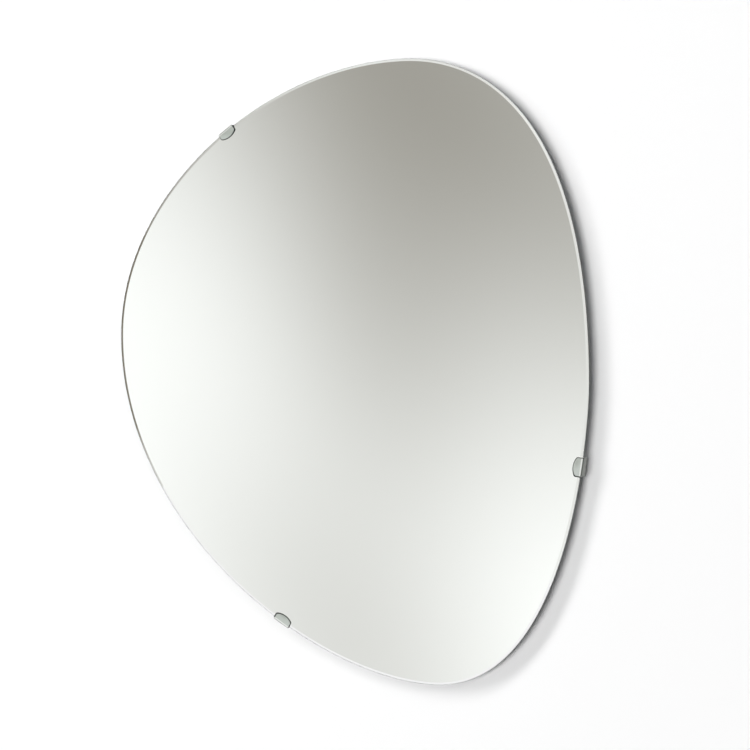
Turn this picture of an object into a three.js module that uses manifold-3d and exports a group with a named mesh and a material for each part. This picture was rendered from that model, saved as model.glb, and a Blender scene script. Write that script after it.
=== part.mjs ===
// Irregular, pebble-shaped wall mirror: frameless glass held to a recessed board by three
// bent edge clips, hung on a pair of hooked rails.
//
// Everything is modelled as it is seen from the front: x across, y up, z out from the wall.
// The last group turns that so that +Z is up and the glass faces -Y. The origin is on the
// wall, at the middle of the wall rail's screw line. Sizes are in millimetres.

import * as THREE from "three";
import { mergeVertices } from "three/addons/utils/BufferGeometryUtils.js";
import Module from "manifold-3d";

const wasm = await Module();
wasm.setup();

// ---- Glass outline: its box, where it touches the box, and how far each tangent pulls ----
const glassWidth = 581;
const glassHeight = 718;
const leftPointUp = 44; // height of the leftmost point above the middle of the box
const topPointRight = 67; // how far the highest point lies right of the middle
const rightPointDown = 13;
const bottomPointRight = 109;
const leftPullUp = 172;
const topPullLeft = 170;
const topPullRight = 42;
const rightPullUp = 366;
const rightPullDown = 48;
const bottomPullRight = 161;
const bottomPullLeft = 151;
const leftPullDown = 230;

// ---- Glass, film and board ----
const glassThickness = 5;
const arris = 1.5; // flat-polished bevel along both rims of the glass
const filmThickness = 0.4;
const filmInset = 3; // from the edge of the glass to the edge of the film
const boardThickness = 12;
const boardInset = 22; // from the edge of the glass to the edge of the board
const boardBevel = 4; // on the board's wall side

// ---- Hooked rails ----
const railThickness = 2.5;
const railPlay = 0.4; // between the two hooked tongues, front to back
const railTongue = 10; // height of the tongue above its web
const railFlange = 20; // height of the flat flange
const railCorner = 0.6; // rounding of the tongue's tip
const wallRailLength = 320;
const boardRailLength = 280;
const railHole = 5;
const wallRailHoles = 4;
const boardRailHoles = 4;
const railHoleEndDistance = 24; // from the end of a rail to its outer hole
const hangHeight = 170; // screw line of the wall rail above the middle of the glass

// ---- Edge clips ----
const clipWidth = 20;
const clipSheet = 1;
const clipBend = 1; // inner bend radius
const tabReach = 8.4; // from the edge of the glass to the middle of the tab's round end
const tabSide = 5.2; // straight sides of the tab
const tabCorner = 1.2;
const padThickness = 0.4;
const padProud = 0.9; // how far the pad shows round the tab
const padSideways = 0.35; // towards the right of a clip, looking outwards, where more of it shows
const padDepth = 6; // how far the pad follows the edge of the glass towards the wall
const pocketDepth = 3; // in the back of the board, where the clip's foot slides
const pocketSideClearance = 1.5;
const pocketCorner = 4;
const clipScrewSpacing = 10; // between the two screws of a clip
const clipScrewFromBoardEdge = 11;
const footEndMargin = 4; // metal left beyond the slots
const footCorner = 4;
const releaseSpare = 1.6; // travel left once the tab is clear of the glass
const upperClipBearing = 117.8; // degrees, from the middle of the glass, 0 to the right, 90 up
const lowerClipBearing = 255.1;
const sideClipBearing = 339.1;

// ---- Screws, washers and bumpers ----
const screwShank = 3.5;
const screwHead = 7;
const screwHeadHeight = 2.2;
const screwTip = 2.5;
const screwHoleClearance = 0.3; // round the shank
const screwBite = 8; // length of a screw inside the board
const washerOuter = 9;
const washerThickness = 0.8;
const bumperDiameter = 22;
const bumperTaper = 1.5; // how much smaller its radius is at the wall
const bumperFromSide = 80; // from the edge of the board to the middle of a bumper
const bumperDrop = 215; // bumpers below the middle of the glass
const bumperHeadRoom = 0.8; // round the head of the screw in its counterbore
const seat = 0.3; // between two pieces that bear on each other

// ---- Fineness ----
const outlineSteps = 44; // on each of the four curves
const boardSteps = 30;
const roundSteps = 32;
const smallRoundSteps = 16;
const bendSteps = 6;

// ---- Distances from the wall, worked out from the sizes above ----
const boardBack = 2 * railThickness + 3 * railPlay;
const boardFront = boardBack + boardThickness;
const glassBack = boardFront + filmThickness;
const glassFront = glassBack + glassThickness;
const tabBack = glassFront + padThickness + 2 * seat;
const tabFront = tabBack + clipSheet;
const footFront = boardBack + pocketDepth - seat;
const footBack = footFront - clipSheet;
const washerTop = footBack - seat;
const washerBottom = washerTop - washerThickness;
const clipScrewSeat = washerBottom - seat;
const bumperScrewSeat = screwHeadHeight + bumperHeadRoom;

// ---- Distances from the edge of the glass at a clip, outwards ----
const legInner = padThickness + 2 * seat;
const legOuter = legInner + clipSheet;
const slotWidth = screwShank + 2 * screwHoleClearance;
const releaseTravel = tabReach + releaseSpare;
const clipScrewIn = boardInset + clipScrewFromBoardEdge;
const slotEndIn = clipScrewIn + releaseTravel + slotWidth / 2;
const footReach = slotEndIn + footEndMargin;
const pocketEndIn = footReach + pocketSideClearance;

const material = (color, roughness, metalness) =>
  new THREE.MeshStandardMaterial({ color, roughness, metalness });
const silvered = material("#dfe3de", 0.03, 1);
const satinSteel = material("#c8cfca", 0.32, 1);
const darkRubber = material("#2b2c2b", 0.85, 0);
const greyFilm = material("#5d6163", 0.6, 0);
const blackBoard = material("#191918", 0.8, 0);
const aluminium = material("#c2c4c6", 0.4, 1);
const zincPlate = material("#b9bcc0", 0.35, 1);

// ---- Booleans ----
function toSolid(geometry) {
  const bare = geometry.clone();
  bare.deleteAttribute("normal");
  bare.deleteAttribute("uv");
  const merged = mergeVertices(bare, 1e-4);
  return new wasm.Manifold(
    new wasm.Mesh({
      numProp: 3,
      vertProperties: new Float32Array(merged.attributes.position.array),
      triVerts: new Uint32Array(merged.index.array),
    }),
  );
}

function toGeometry(solid) {
  const mesh = solid.getMesh();
  const geometry = new THREE.BufferGeometry();
  geometry.setAttribute("position", new THREE.BufferAttribute(mesh.vertProperties, 3));
  geometry.setIndex(new THREE.BufferAttribute(mesh.triVerts, 1));
  geometry.computeVertexNormals();
  return geometry;
}

function cutFrom(geometry, cutters) {
  let solid = toSolid(geometry);
  for (const cutter of cutters) solid = solid.subtract(toSolid(cutter));
  return toGeometry(solid);
}

// ---- Shapes ----
function extruded(shape, depth, curveSegments = smallRoundSteps) {
  return new THREE.ExtrudeGeometry(shape, { depth, curveSegments, bevelEnabled: false });
}

// A profile of [radius, z] points turned round the z axis.
function turned(profile, steps = smallRoundSteps) {
  const points = profile.map(([radius, z]) => new THREE.Vector2(radius, z));
  return new THREE.LatheGeometry(points, steps).rotateX(Math.PI / 2);
}

function rod(diameter, start, end, steps = smallRoundSteps) {
  const cylinder = new THREE.CylinderGeometry(diameter / 2, diameter / 2, end - start, steps);
  return cylinder.rotateX(Math.PI / 2).translate(0, 0, (start + end) / 2);
}

// The four curves run clockwise from the leftmost point and are level or upright where they meet.
function outlineCurves() {
  const left = [-glassWidth / 2, leftPointUp];
  const top = [topPointRight, glassHeight / 2];
  const right = [glassWidth / 2, -rightPointDown];
  const bottom = [bottomPointRight, -glassHeight / 2];
  const curve = (from, fromPull, to, toPull) =>
    new THREE.CubicBezierCurve(
      new THREE.Vector2(...from),
      new THREE.Vector2(from[0] + fromPull[0], from[1] + fromPull[1]),
      new THREE.Vector2(to[0] + toPull[0], to[1] + toPull[1]),
      new THREE.Vector2(...to),
    );
  return [
    curve(left, [0, leftPullUp], top, [-topPullLeft, 0]),
    curve(top, [topPullRight, 0], right, [0, rightPullUp]),
    curve(right, [0, -rightPullDown], bottom, [bottomPullRight, 0]),
    curve(bottom, [-bottomPullLeft, 0], left, [0, -leftPullDown]),
  ];
}
const outline = outlineCurves();

// The point at a share of one curve's length, with the direction away from the glass there.
function outlinePlace(curve, share) {
  const tangent = curve.getTangentAt(share);
  return { point: curve.getPointAt(share), outward: new THREE.Vector2(-tangent.y, tangent.x) };
}

function outlineRing(inset, steps) {
  const ring = [];
  for (const curve of outline) {
    for (let i = 0; i < steps; i += 1) {
      const { point, outward } = outlinePlace(curve, i / steps);
      ring.push(point.addScaledVector(outward, -inset));
    }
  }
  return ring.reverse();
}

// A plate of the glass's outline: one ring for each [inset, z], joined in order and capped.
function outlinePlate(levels, steps) {
  const rings = levels.map(([inset]) => outlineRing(inset, steps));
  const count = rings[0].length;
  const positions = rings.flatMap((ring, level) => ring.flatMap((p) => [p.x, p.y, levels[level][1]]));
  const index = [];
  const topStart = (levels.length - 1) * count;
  for (const [a, b, c] of THREE.ShapeUtils.triangulateShape(rings[0], [])) index.push(a, c, b);
  for (const [a, b, c] of THREE.ShapeUtils.triangulateShape(rings.at(-1), [])) {
    index.push(topStart + a, topStart + b, topStart + c);
  }
  for (let start = 0; start < topStart; start += count) {
    for (let i = 0; i < count; i += 1) {
      const next = (i + 1) % count;
      index.push(start + i, start + next, start + count + next);
      index.push(start + i, start + count + next, start + count + i);
    }
  }
  const geometry = new THREE.BufferGeometry();
  geometry.setAttribute("position", new THREE.Float32BufferAttribute(positions, 3));
  geometry.setIndex(index);
  geometry.computeVertexNormals();
  return geometry;
}

// Centre of gravity of the glass, as a flat plate.
function outlineCentroid() {
  const ring = outlineRing(0, outlineSteps);
  const sum = new THREE.Vector2();
  let doubleArea = 0;
  ring.forEach((p, i) => {
    const q = ring[(i + 1) % ring.length];
    const cross = p.x * q.y - q.x * p.y;
    doubleArea += cross;
    sum.x += (p.x + q.x) * cross;
    sum.y += (p.y + q.y) * cross;
  });
  return sum.divideScalar(3 * doubleArea);
}

// Left and right edges of the board at a height.
function boardSpan(height) {
  const ring = outlineRing(boardInset, outlineSteps);
  const crossings = [];
  ring.forEach((p, i) => {
    const q = ring[(i + 1) % ring.length];
    if (p.y > height !== q.y > height) {
      crossings.push(THREE.MathUtils.mapLinear(height, p.y, q.y, p.x, q.x));
    }
  });
  return { left: Math.min(...crossings), right: Math.max(...crossings) };
}

// Where a line from the middle of the glass leaves it, as the place and turn of a clip.
function clipPlace(bearing) {
  const aim = new THREE.Vector2(1, 0).rotateAround(new THREE.Vector2(), THREE.MathUtils.degToRad(bearing));
  const offAim = ({ point }) => Math.abs(Math.atan2(aim.cross(point), aim.dot(point)));
  let nearest = outlinePlace(outline[0], 0);
  for (const curve of outline) {
    for (let share = 0; share < 1; share += 1 / 2000) {
      const place = outlinePlace(curve, share);
      if (offAim(place) < offAim(nearest)) nearest = place;
    }
  }
  return { x: nearest.point.x, y: nearest.point.y, turn: nearest.outward.angle() };
}

const clips = [
  { name: "upper", ...clipPlace(upperClipBearing) },
  { name: "lower", ...clipPlace(lowerClipBearing) },
  { name: "side", ...clipPlace(sideClipBearing) },
];
const clipScrewSides = [-clipScrewSpacing / 2, clipScrewSpacing / 2];

const hangPoint = new THREE.Vector2(outlineCentroid().x, hangHeight);
const bumperSpan = boardSpan(-bumperDrop);
const bumpers = [
  { name: "left", x: bumperSpan.left + bumperFromSide, y: -bumperDrop },
  { name: "right", x: bumperSpan.right - bumperFromSide, y: -bumperDrop },
];

function holePlaces(length, count) {
  const first = -length / 2 + railHoleEndDistance;
  const pitch = (length - 2 * railHoleEndDistance) / (count - 1);
  return Array.from({ length: count }, (unused, i) => first + i * pitch);
}

// ---- Rails ----
// The same hooked section serves both rails: flange on its carrier, web, and a tongue that
// stands off far enough to take the other rail's tongue behind it.
function railGeometry(length, holeCount) {
  const back = railThickness + 2 * railPlay;
  const front = back + railThickness;
  const webBottom = railFlange / 2;
  const webTop = webBottom + railThickness;
  const tip = webTop + railTongue;
  const section = new THREE.Shape();
  section.moveTo(0, -railFlange / 2);
  section.lineTo(railThickness, -railFlange / 2);
  section.lineTo(railThickness, webBottom);
  section.lineTo(front, webBottom);
  section.lineTo(front, tip - railCorner);
  section.quadraticCurveTo(front, tip, front - railCorner, tip);
  section.lineTo(back + railCorner, tip);
  section.quadraticCurveTo(back, tip, back, tip - railCorner);
  section.lineTo(back, webTop);
  section.lineTo(0, webTop);
  section.closePath();
  const bar = extruded(section, length, bendSteps / 2)
    .rotateY(-Math.PI / 2)
    .translate(length / 2, 0, 0);
  const holes = holePlaces(length, holeCount).map((x) =>
    rod(railHole, -1, railThickness + 1).translate(x, 0, 0),
  );
  return cutFrom(bar, holes);
}
// Turning the board rail over brings its tongue down behind the wall rail's tongue.
const boardRailUp = railFlange + 2 * railThickness + railTongue + seat;

// ---- Screws and washers: seated at z = 0, head towards the wall ----
function screwGeometry(length) {
  const crown = screwHeadHeight;
  return turned([
    [0, -crown],
    [screwHead * 0.28, -crown * 0.94],
    [screwHead * 0.43, -crown * 0.66],
    [screwHead / 2, -crown * 0.25],
    [screwHead / 2, 0],
    [screwShank / 2, 0],
    [screwShank / 2, length - screwTip],
    [0, length],
  ]);
}

function washerGeometry() {
  const inner = screwShank / 2 + screwHoleClearance;
  return turned([
    [inner, 0],
    [washerOuter / 2, 0],
    [washerOuter / 2, washerThickness],
    [inner, washerThickness],
    [inner, 0],
  ]);
}

// ---- Clip, in its own frame: x outwards from the edge of the glass, y along it ----
// Plan of the tab: straight sides and a shallow round end, grown by a margin on every free side.
function tabPlan(margin, outerEdge) {
  const half = clipWidth / 2 + margin;
  const reach = tabReach + margin;
  const rise = tabReach - tabSide;
  const roundRadius = (half * half + rise * rise) / (2 * rise);
  const cornerAngle = Math.asin((half - tabCorner) / roundRadius);
  const plan = new THREE.Shape();
  plan.moveTo(outerEdge, -half);
  plan.lineTo(outerEdge, half);
  plan.lineTo(rise - reach + tabCorner, half);
  plan.quadraticCurveTo(
    rise - reach,
    half,
    roundRadius - reach - roundRadius * Math.cos(cornerAngle),
    roundRadius * Math.sin(cornerAngle),
  );
  plan.absarc(roundRadius - reach, 0, roundRadius, Math.PI - cornerAngle, Math.PI + cornerAngle, false);
  plan.quadraticCurveTo(rise - reach, -half, rise - reach + tabCorner, -half);
  plan.closePath();
  return plan;
}

// A long round-ended hole along x.
function slotPath(fromX, toX, y, width) {
  const path = new THREE.Path();
  path.absarc(toX, y, width / 2, -Math.PI / 2, Math.PI / 2, false);
  path.absarc(fromX, y, width / 2, Math.PI / 2, Math.PI * 1.5, false);
  path.closePath();
  return path;
}

// A strip that ends in two rounded corners at x = -reach.
function footPlan(reach, outerEdge, width, corner) {
  const plan = new THREE.Shape();
  plan.moveTo(outerEdge, -width / 2);
  plan.lineTo(outerEdge, width / 2);
  plan.absarc(-reach + corner, width / 2 - corner, corner, Math.PI / 2, Math.PI, false);
  plan.absarc(-reach + corner, corner - width / 2, corner, Math.PI, Math.PI * 1.5, false);
  plan.closePath();
  return plan;
}

// Side view of the bent sheet: tab over the glass, leg past its edge, foot behind the board.
function bentSheetGeometry() {
  const outerBend = clipBend + clipSheet;
  const bendX = legInner - clipBend;
  const side = new THREE.Shape();
  side.moveTo(-tabReach - 1, tabFront);
  side.lineTo(-tabReach - 1, tabBack);
  side.absarc(bendX, tabBack - clipBend, clipBend, Math.PI / 2, 0, true);
  side.absarc(bendX, footFront + clipBend, clipBend, 0, -Math.PI / 2, true);
  side.lineTo(-footReach - 1, footFront);
  side.lineTo(-footReach - 1, footBack);
  side.absarc(bendX, footBack + outerBend, outerBend, -Math.PI / 2, 0, false);
  side.absarc(bendX, tabFront - outerBend, outerBend, 0, Math.PI / 2, false);
  side.closePath();
  return extruded(side, clipWidth + 2, bendSteps)
    .rotateX(Math.PI / 2)
    .translate(0, clipWidth / 2 + 1, 0);
}

function clipGeometry() {
  const foot = footPlan(footReach, legOuter + 1, clipWidth, footCorner);
  const slotStart = -clipScrewIn - releaseTravel;
  foot.holes = clipScrewSides.map((y) => slotPath(slotStart, -clipScrewIn, y, slotWidth));
  const legMiddle = (footFront + tabBack) / 2;
  const footBlank = extruded(foot, legMiddle - footBack + 1, smallRoundSteps / 2);
  const tabBlank = extruded(tabPlan(0, legOuter + 1), tabFront - footBack + 2);
  const blank = toSolid(footBlank.translate(0, 0, footBack - 1)).add(
    toSolid(tabBlank.translate(0, 0, footBack - 1)),
  );
  return toGeometry(toSolid(bentSheetGeometry()).intersect(blank));
}

// Thin rubber angle between the clip and the glass: a lip under the tab, a web down the edge.
function padGeometry() {
  const webInner = seat;
  const webOuter = seat + padThickness;
  const lipBack = glassFront + seat;
  const lipFront = lipBack + padThickness;
  const corner = clipBend - seat;
  const side = new THREE.Shape();
  side.moveTo(-tabReach - padProud - 1, lipBack);
  side.lineTo(webInner, lipBack);
  side.lineTo(webInner, lipFront - padDepth);
  side.lineTo(webOuter, lipFront - padDepth);
  side.absarc(webOuter - corner, lipFront - corner, corner, 0, Math.PI / 2, false);
  side.lineTo(-tabReach - padProud - 1, lipFront);
  side.closePath();
  const strip = extruded(side, clipWidth + 2 * padProud + 2, bendSteps / 2)
    .rotateX(Math.PI / 2)
    .translate(0, clipWidth / 2 + padProud + 1, 0);
  const plan = extruded(tabPlan(padProud, webOuter + 1), padDepth + 2);
  const blank = toSolid(plan.translate(0, 0, lipFront - padDepth - 1));
  return toGeometry(toSolid(strip).intersect(blank)).translate(0, -padSideways, 0);
}

// ---- Board, with a pocket for each clip's foot and a pilot hole for each screw ----
function boardGeometry() {
  const blank = outlinePlate(
    [
      [boardInset + boardBevel, boardBack],
      [boardInset, boardBack + boardBevel],
      [boardInset, boardFront],
    ],
    boardSteps,
  );
  const pilot = (x, y, start) =>
    rod(slotWidth, start - 1, boardBack + pocketDepth + screwBite).translate(x, y, 0);
  const cutters = [];
  for (const clip of clips) {
    const place = new THREE.Matrix4().makeRotationZ(clip.turn).setPosition(clip.x, clip.y, 0);
    const pocket = footPlan(pocketEndIn, 0, clipWidth + 2 * pocketSideClearance, pocketCorner);
    const shapes = [extruded(pocket, pocketDepth + 1, bendSteps).translate(0, 0, boardBack - 1)];
    for (const y of clipScrewSides) shapes.push(pilot(-clipScrewIn, y, boardBack));
    for (const shape of shapes) cutters.push(shape.applyMatrix4(place));
  }
  for (const x of holePlaces(boardRailLength, boardRailHoles)) {
    cutters.push(pilot(hangPoint.x + x, hangPoint.y + boardRailUp, boardBack));
  }
  for (const bumper of bumpers) cutters.push(pilot(bumper.x, bumper.y, boardBack));
  return cutFrom(blank, cutters);
}

// ---- Bumper: a low rubber cone with a counterbored screw hole ----
function bumperGeometry() {
  const hole = screwShank / 2 + screwHoleClearance;
  const counterbore = screwHead / 2 + bumperHeadRoom;
  const base = bumperDiameter / 2;
  const edge = 0.8;
  return turned(
    [
      [counterbore, 0],
      [base - bumperTaper - edge, 0],
      [base - bumperTaper, edge],
      [base, boardBack],
      [hole, boardBack],
      [hole, bumperScrewSeat + seat],
      [counterbore, bumperScrewSeat + seat],
      [counterbore, 0],
    ],
    roundSteps,
  );
}

// ---- Assembly ----
function piece(name, geometry, finish, x = 0, y = 0, z = 0) {
  const mesh = new THREE.Mesh(geometry, finish);
  mesh.name = name;
  mesh.position.set(x, y, z);
  return mesh;
}

function glassAndBoard() {
  const group = new THREE.Group();
  const glass = outlinePlate(
    [
      [arris, glassBack],
      [0, glassBack + arris],
      [0, glassFront - arris],
      [arris, glassFront],
    ],
    outlineSteps,
  );
  const film = outlinePlate(
    [
      [filmInset, boardFront],
      [filmInset, glassBack],
    ],
    boardSteps,
  );
  group.add(piece("mirror_glass", glass, silvered));
  group.add(piece("safety_film", film, greyFilm));
  group.add(piece("backing_board", boardGeometry(), blackBoard));
  return group;
}

function clipGroup({ name, x, y, turn }, clipShape, padShape, screwShape, washerShape) {
  const group = new THREE.Group();
  group.position.set(x, y, 0);
  group.rotation.z = turn;
  group.add(piece(`clip_${name}`, clipShape, satinSteel));
  group.add(piece(`clip_pad_${name}`, padShape, darkRubber));
  clipScrewSides.forEach((sideways, i) => {
    const place = [-clipScrewIn, sideways];
    group.add(piece(`clip_washer_${name}_${i + 1}`, washerShape, zincPlate, ...place, washerBottom));
    group.add(piece(`clip_screw_${name}_${i + 1}`, screwShape, zincPlate, ...place, clipScrewSeat));
  });
  return group;
}

function hangingRails() {
  const group = new THREE.Group();
  group.position.set(hangPoint.x, hangPoint.y, 0);
  group.add(piece("wall_rail", railGeometry(wallRailLength, wallRailHoles), aluminium));
  const boardRail = new THREE.Group();
  boardRail.position.set(0, boardRailUp, boardBack);
  boardRail.rotation.x = Math.PI;
  boardRail.add(piece("board_rail", railGeometry(boardRailLength, boardRailHoles), aluminium));
  group.add(boardRail);
  const screwShape = screwGeometry(railThickness + seat + screwBite);
  holePlaces(boardRailLength, boardRailHoles).forEach((x, i) => {
    const seatZ = boardBack - railThickness - seat;
    group.add(piece(`board_rail_screw_${i + 1}`, screwShape, zincPlate, x, boardRailUp, seatZ));
  });
  return group;
}

function wallBumpers() {
  const group = new THREE.Group();
  const rubber = bumperGeometry();
  const screwShape = screwGeometry(boardBack - bumperScrewSeat + screwBite);
  for (const { name, x, y } of bumpers) {
    group.add(piece(`bumper_${name}`, rubber, darkRubber, x, y));
    group.add(piece(`bumper_screw_${name}`, screwShape, zincPlate, x, y, bumperScrewSeat));
  }
  return group;
}

function wallMirror() {
  const front = new THREE.Group();
  front.add(glassAndBoard(), hangingRails(), wallBumpers());
  const clipShape = clipGeometry();
  const padShape = padGeometry();
  const screwShape = screwGeometry(boardBack + pocketDepth - clipScrewSeat + screwBite - 1);
  const washerShape = washerGeometry();
  for (const clip of clips) front.add(clipGroup(clip, clipShape, padShape, screwShape, washerShape));
  front.position.set(-hangPoint.x, -hangPoint.y, 0);
  const upright = new THREE.Group();
  upright.rotation.x = Math.PI / 2;
  upright.add(front);
  return upright;
}

const group = wallMirror();
export default group;
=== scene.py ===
"""Looks of an irregular, pebble-shaped wall mirror, built round its packed construction.

Lengths are in metres. +Z is up, the wall is the plane y = 0 and the glass faces -Y. Shapes that
belong to a clip are drawn in the clip's own frame: outwards from the edge of the glass, along
that edge, and away from the wall.
"""

import math

import bmesh
import bpy
from bpy.props import FloatProperty, FloatVectorProperty, IntProperty, PointerProperty
from bpy.types import Operator, Panel, PropertyGroup
from mathutils import Matrix, Vector


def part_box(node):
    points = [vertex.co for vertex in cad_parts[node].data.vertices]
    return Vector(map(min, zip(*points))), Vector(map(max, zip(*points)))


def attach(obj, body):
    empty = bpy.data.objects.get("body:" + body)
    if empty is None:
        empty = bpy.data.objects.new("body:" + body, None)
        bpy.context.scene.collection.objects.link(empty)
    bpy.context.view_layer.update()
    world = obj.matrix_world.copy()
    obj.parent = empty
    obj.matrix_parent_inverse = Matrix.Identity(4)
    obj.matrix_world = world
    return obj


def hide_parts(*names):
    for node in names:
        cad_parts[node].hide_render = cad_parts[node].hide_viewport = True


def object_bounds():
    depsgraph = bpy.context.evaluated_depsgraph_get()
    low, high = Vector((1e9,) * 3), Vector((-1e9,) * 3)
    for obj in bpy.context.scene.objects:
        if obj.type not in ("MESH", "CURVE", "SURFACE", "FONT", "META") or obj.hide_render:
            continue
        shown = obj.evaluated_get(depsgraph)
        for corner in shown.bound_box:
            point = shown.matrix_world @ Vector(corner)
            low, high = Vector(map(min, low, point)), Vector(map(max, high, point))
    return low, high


bl_info = {
    "name": "Pebble Wall Mirror",
    "version": (1, 0, 0),
    "blender": (4, 5, 0),
    "location": "3D View > Sidebar > Wall Mirror",
    "description": "Builds the visible pieces, finishes and stage of a frameless wall mirror",
    "category": "Object",
}

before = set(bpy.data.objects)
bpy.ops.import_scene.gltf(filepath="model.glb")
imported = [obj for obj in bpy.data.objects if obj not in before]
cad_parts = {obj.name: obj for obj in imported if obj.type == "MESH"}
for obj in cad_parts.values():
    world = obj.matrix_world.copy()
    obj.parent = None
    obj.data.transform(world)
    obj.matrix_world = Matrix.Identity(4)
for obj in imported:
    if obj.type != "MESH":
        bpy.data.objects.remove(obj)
cad_low, cad_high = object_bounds()
glass_low, glass_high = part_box("mirror_glass")
film_low, film_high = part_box("safety_film")
board_low, board_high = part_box("backing_board")
board_rail_low, board_rail_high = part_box("board_rail")
glass_middle = Vector(((glass_low.x + glass_high.x) / 2, (glass_low.z + glass_high.z) / 2))

MILLIMETRE = 0.001


# ---- Settings that a user would change ----
def length(name, millimetres, description):
    return FloatProperty(
        name=name,
        description=description,
        default=millimetres * MILLIMETRE,
        unit="LENGTH",
        subtype="DISTANCE",
        precision=5,
    )


def lengths(name, millimetres, description):
    return FloatVectorProperty(
        name=name,
        description=description,
        default=[each * MILLIMETRE for each in millimetres],
        unit="LENGTH",
        subtype="XYZ_LENGTH",
        precision=5,
    )


def angle(name, degrees, description):
    return FloatProperty(
        name=name, description=description, default=math.radians(degrees), unit="ROTATION", subtype="ANGLE"
    )


def colour(name, value, description):
    return FloatVectorProperty(
        name=name, description=description, default=value, size=3, min=0, max=1, subtype="COLOR"
    )


def share(name, value, description):
    return FloatProperty(name=name, description=description, default=value, min=0, soft_max=1)


class GlassSettings(PropertyGroup):
    """The edge of the glass: where it touches its box, and how far each tangent pulls."""

    left_point_up: length("Left point up", 44, "Height of the leftmost point above the middle")
    top_point_right: length("Top point right", 67, "How far the highest point lies right of the middle")
    right_point_down: length("Right point down", 13, "Depth of the rightmost point below the middle")
    bottom_point_right: length("Bottom point right", 109, "How far the lowest point lies right of the middle")
    left_pull_up: length("Left pull up", 172, "Pull of the upright tangent above the leftmost point")
    top_pull_left: length("Top pull left", 170, "Pull of the level tangent left of the highest point")
    top_pull_right: length("Top pull right", 42, "Pull of the level tangent right of the highest point")
    right_pull_up: length("Right pull up", 366, "Pull of the upright tangent above the rightmost point")
    right_pull_down: length("Right pull down", 48, "Pull of the upright tangent below the rightmost point")
    bottom_pull_right: length("Bottom pull right", 161, "Pull of the level tangent right of the lowest point")
    bottom_pull_left: length("Bottom pull left", 151, "Pull of the level tangent left of the lowest point")
    left_pull_down: length("Left pull down", 230, "Pull of the upright tangent below the leftmost point")
    steps: IntProperty(name="Edge steps", description="Points on each of the four curves", default=150, min=8)
    bevel: length("Bevel width", 2.7, "Width of the polished bevel round the front")
    bevel_depth: length("Bevel depth", 0.8, "How far the bevel falls to the rim")
    arris: length("Back arris", 1.5, "Width of the arris round the back")
    coating: length("Coating", 0.1, "Thickness of the silver layer and of the space before the film")
    silver_depth: length("Silver depth", 0.4, "From the front of the glass to the silver")
    film_inset: length("Film inset", 3, "From the edge of the glass to the edge of the film")
    tint: colour("Glass tint", (0.62, 0.86, 0.74), "Colour that light takes on inside the glass")


class BoardSettings(PropertyGroup):
    """The recessed backing board."""

    inset: length("Inset", 22, "From the edge of the glass to the edge of the board")
    bevel: length("Bevel", 4, "Bevel on the wall side")
    edge_round: length("Edge rounding", 0.5, "Rounding of the board's edges")
    pocket_depth: length("Pocket depth", 3, "Depth of the pocket for a clip's foot")
    pocket_clearance: length("Pocket clearance", 1.5, "Room beside and beyond a clip's foot")
    pocket_corner: length("Pocket corner", 4, "Corner radius of a pocket")
    screw_bite: length("Screw bite", 8, "Length of a screw inside the board")
    steps: IntProperty(name="Edge steps", description="Points on each of the four curves", default=90, min=8)
    paint: colour("Paint", (0.028, 0.028, 0.026), "Black paint on the board")
    film: colour("Film", (0.105, 0.115, 0.118), "Grey film on the back of the glass")


class ClipSettings(PropertyGroup):
    """The bent edge clips and their rubber pads."""

    upper_bearing: angle("Upper clip", 117.8, "Bearing from the middle of the glass, 0 right and 90 up")
    lower_bearing: angle("Lower clip", 255.1, "Bearing from the middle of the glass, 0 right and 90 up")
    side_bearing: angle("Side clip", 339.1, "Bearing from the middle of the glass, 0 right and 90 up")
    width: length("Width", 20, "Width of a clip")
    sheet: length("Sheet", 1, "Thickness of the sheet")
    bend: length("Bend", 1, "Inner radius of both bends")
    reach: length("Tab reach", 8.4, "From the edge of the glass to the tab's round end")
    straight: length("Tab side", 5.2, "Length of the tab's straight sides")
    corner: length("Tab corner", 1.2, "Rounding between the sides and the round end")
    edge_round: length("Edge rounding", 0.16, "Rounding of the sheet's edges")
    travel_spare: length("Spare travel", 1.6, "Travel left once the tab is clear of the glass")
    foot_margin: length("Foot margin", 4, "Metal beyond the slots")
    foot_corner: length("Foot corner", 4, "Corner radius of the foot")
    screw_spacing: length("Screw spacing", 10, "Between the two screws of a clip")
    screw_from_edge: length("Screw inset", 11, "From the edge of the board to the screws")
    pad_thickness: length("Pad thickness", 0.4, "Thickness of the rubber")
    # Each pad is a real part. Its margins round the tab are also sized so that the dark rubber stands in for
    # painted shade, the outline of shadow and reflection round each clip.
    upper_pad: lengths("Upper pad", (0.9, 0.9, 0.3), "Rubber showing right, left and at the round end")
    lower_pad: lengths("Lower pad", (1.8, 0.1, 0.3), "Rubber showing right, left and at the round end")
    side_pad: lengths("Side pad", (1.5, 0.6, 1.1), "Rubber showing right, left and at the round end")
    pad_depth: length("Pad depth", 6, "How far the rubber follows the edge of the glass")
    pad_round: length("Pad rounding", 0.12, "Rounding of the rubber's edges")
    steel: colour("Steel", (0.60, 0.632, 0.61), "Satin metal of the clips")
    # Painted highlight: the light colour of the band across each clip's bend.
    painted_highlight_steel: colour("Rubbed steel", (0.93, 0.94, 0.93), "The line where a clip bends")
    # Painted shade: the dark colour of each clip's leg.
    painted_shade_steel: colour("Dull steel", (0.10, 0.11, 0.102), "The leg of a clip")
    rubber: colour("Rubber", (0.030, 0.033, 0.031), "Pads and bumpers")


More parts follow.
